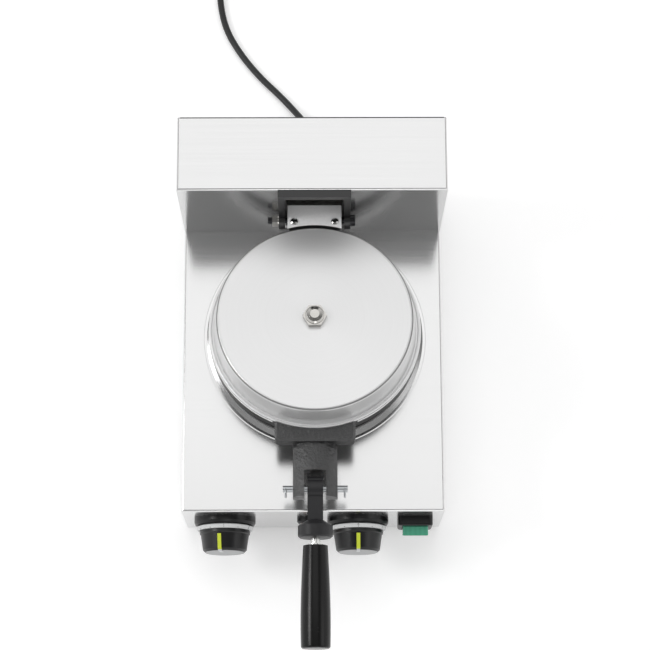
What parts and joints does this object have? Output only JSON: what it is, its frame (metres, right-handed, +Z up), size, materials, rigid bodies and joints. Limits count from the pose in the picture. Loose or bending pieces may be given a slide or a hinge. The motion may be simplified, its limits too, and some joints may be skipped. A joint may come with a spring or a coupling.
{
  "type": "countertop burger press cooker",
  "caption": "Countertop electric cooker with round cast moulds, a hinged lid with a latching lever grip, a stainless base with a rear tower, rotary controls and a mains cord.",
  "frame": {"origin": "on the table under the middle of the object's box without its cord, at the height of the feet's undersides", "axes": "+Z up, +Y from the handle to the rear tower, +X to the right seen from the handle"},
  "size_m": [0.24, 0.8413, 0.232],
  "materials": {
    "brushed_steel_body": "fine brushed stainless steel",
    "brushed_steel_drum": "brushed stainless steel",
    "polished_steel": "bright",
    "polished_cap": "spun and polished stainless steel",
    "black_casting": "satin black non-stick coating on a rough casting",
    "charcoal_casting": "satin charcoal coating",
    "black_bracket": "satin black",
    "black_bolt": "black oxide",
    "zinc_steel": "zinc plated",
    "element_sheath": "dull steel sheath",
    "ceramic_pad": "white",
    "control_body": "dark moulded body",
    "gloss_black_grip": "gloss black",
    "knob_black": "satin black",
    "black_plastic": "black",
    "pale_dial": "pale grey",
    "pointer_green": "yellow-green",
    "rocker_green": "green",
    "amber_lens": "amber",
    "rubber_feet": "black",
    "cord_black": "black"
  },
  "bodies": {
    "base": {"deck_shell": "brushed_steel_body", "tower_shell": "brushed_steel_body", "back_panel": "brushed_steel_body", "bottom_plate": "brushed_steel_body", "foot_front_left": "rubber_feet", "foot_front_right": "rubber_feet", "foot_rear_left": "rubber_feet", "foot_rear_right": "rubber_feet", "foot_screws": "zinc_steel", "deck_ring": "polished_steel", "lower_drum": "brushed_steel_drum", "lower_mould": "black_casting", "lower_element": "element_sheath", "sensing_bulb": "element_sheath", "heat_shield": "zinc_steel", "hinge_bracket": "black_bracket", "bracket_screws": "zinc_steel", "hinge_pin": "black_bolt", "hinge_washer": "polished_steel", "hinge_nut": "polished_steel", "timer_bezel": "black_plastic", "timer_dial": "pale_dial", "timer_body": "control_body", "thermostat_bezel": "black_plastic", "thermostat_dial": "pale_dial", "thermostat_body": "control_body", "switch_housing": "black_plastic", "switch_body": "black_plastic", "lamp_bezel": "black_plastic", "pilot_lamp": "amber_lens", "terminal_block": "ceramic_pad", "cord_gland": "black_plastic", "cord_lead": "cord_black", "cord_coil": "cord_black", "plug": "cord_black"},
    "lid": {"upper_mould": "black_casting", "upper_element": "element_sheath", "lid_cap": "polished_cap", "cap_stud": "zinc_steel", "cap_nut": "polished_steel", "insulation_pad": "ceramic_pad", "wire_cover": "polished_steel", "cover_rivets": "polished_steel", "latch_pin": "zinc_steel", "pin_clips": "zinc_steel"},
    "lever": {"latch_lever": "charcoal_casting", "handle_stud": "polished_steel", "handle_grip": "gloss_black_grip"},
    "timer": {"timer_knob": "knob_black", "timer_pointer": "pointer_green", "timer_shaft": "zinc_steel"},
    "thermostat": {"thermostat_knob": "knob_black", "thermostat_pointer": "pointer_green", "thermostat_shaft": "zinc_steel"},
    "rocker": {"power_rocker": "rocker_green"}
  },
  "joints": [
    {"name": "lid_hinge", "type": "hinge", "parent": "base", "child": "lid", "pos_m": [0.002, 0.15588, 0.1645], "axis": [-1, 0, 0], "range_deg": [-8, 72]},
    {"name": "latch_swing", "type": "hinge", "parent": "lid", "child": "lever", "pos_m": [0.002, -0.09088, 0.15828], "axis": [1, 0, 0], "range_deg": [0, 22]},
    {"name": "timer_turn", "type": "hinge", "parent": "base", "child": "timer", "pos_m": [-0.082, -0.12262, 0.062], "axis": [0, 1, 0], "range_deg": [0, 300]},
    {"name": "thermostat_turn", "type": "hinge", "parent": "base", "child": "thermostat", "pos_m": [0.0415, -0.12262, 0.062], "axis": [0, 1, 0], "range_deg": [0, 270]},
    {"name": "power_rock", "type": "hinge", "parent": "base", "child": "rocker", "pos_m": [0.0945, -0.10532, 0.064], "axis": [-1, 0, 0], "range_deg": [0, 16]}
  ]
}
